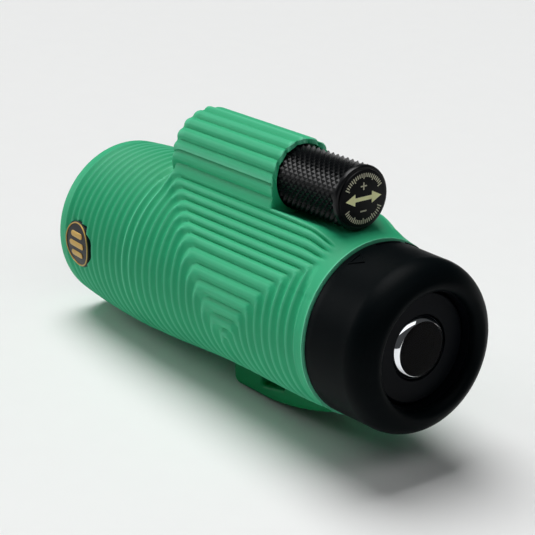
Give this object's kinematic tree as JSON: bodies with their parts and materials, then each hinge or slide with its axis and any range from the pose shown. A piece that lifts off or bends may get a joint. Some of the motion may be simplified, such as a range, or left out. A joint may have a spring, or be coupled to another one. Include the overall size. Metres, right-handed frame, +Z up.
{
  "type": "monocular",
  "caption": "Rubber-armoured straight roof-prism monocular with a knurled focus knob on top, a twist-up eyecup and a ramped foot with a camera socket.",
  "frame": {"origin": "centre of the camera socket's mouth, in the flat underside of the foot", "axes": "+Y along the optical axis from the eye to the objective, +Z up to the focus knob, +X to the user's right"},
  "size_m": [0.0492, 0.1284, 0.0694],
  "materials": {
    "armour_rubber": "matte, moulded with raised ribs",
    "foot_rubber": "matte, smooth",
    "cup_rubber": "matte, soft",
    "seal_rubber": "smooth",
    "shell_nylon": "glass-filled nylon",
    "black_plastic": "moulded, fine grain",
    "pom_plastic": "acetal",
    "badge_black": "satin black enamel",
    "badge_gold": "satin gold",
    "knob_rubber": "diamond knurl",
    "knob_face": "printed disc",
    "anodised": "black anodised",
    "steel": "ground",
    "brass": "turned",
    "coated_glass": "multi-coated",
    "prism_glass": "polished"
  },
  "bodies": {
    "root": {"body_shell": "shell_nylon", "rubber_armour": "armour_rubber", "foot_block": "foot_rubber", "tripod_insert": "brass", "side_badge": "badge_black", "badge_emblem": "badge_gold", "guide_rod": "steel", "objective_cell": "anodised", "objective_o_ring": "seal_rubber", "objective_flint_lens": "coated_glass", "objective_crown_lens": "coated_glass", "objective_retaining_ring": "anodised", "light_baffles": "black_plastic", "front_prism": "prism_glass", "roof_prism": "prism_glass", "prism_cage": "black_plastic", "prism_clip": "steel", "prism_cage_screws": "steel", "field_stop": "anodised", "eyepiece_barrel": "anodised", "field_lens": "coated_glass", "eyepiece_spacer": "anodised", "eye_doublet": "coated_glass", "eye_lens": "coated_glass", "eyepiece_bezel": "black_plastic", "eyepiece_tube": "black_plastic", "eyepiece_flange_screws": "steel", "eyepiece_o_ring": "seal_rubber", "knob_bush": "brass", "front_screw_bearing": "brass"},
    "focus_knob": {"focus_screw": "steel", "friction_washer": "pom_plastic", "knob_hub": "anodised", "knob_screw": "steel", "knob_grip": "knob_rubber", "knob_badge": "knob_face"},
    "focus_carriage": {"focus_nut": "brass", "focus_arm": "anodised", "focus_lens_cell": "anodised", "focus_lens": "coated_glass", "focus_lens_ring": "anodised"},
    "eyecup_guide": {"eyecup_guide_ring": "pom_plastic"},
    "eyecup": {"eyecup_core": "black_plastic", "eyecup_cam_pins": "steel", "eyecup_snap_ring": "steel", "eyecup_rubber": "cup_rubber"}
  },
  "joints": [
    {"name": "focus_knob_turn", "type": "hinge", "parent": "root", "child": "focus_knob", "pos_m": [0, -0.0354, 0.0595], "axis": [0, 1, 0], "range_deg": [-210, 210]},
    {"name": "focus_carriage_slide", "type": "slide", "parent": "root", "child": "focus_carriage", "axis": [0, 1, 0], "range_m": [-0.00233, 0.00233]},
    {"name": "eyecup_slide", "type": "slide", "parent": "root", "child": "eyecup_guide", "axis": [0, -1, 0], "range_m": [0, 0.00699]},
    {"name": "eyecup_turn", "type": "hinge", "parent": "eyecup_guide", "child": "eyecup", "pos_m": [0, -0.0426, 0.028], "axis": [0, -1, 0], "range_deg": [0, 110]}
  ],
  "couplings": [
    {"joint": "focus_knob_turn", "follows": "focus_carriage_slide", "rad_per_m": 1570.8},
    {"joint": "eyecup_turn", "follows": "eyecup_slide", "rad_per_m": 274.27}
  ]
}
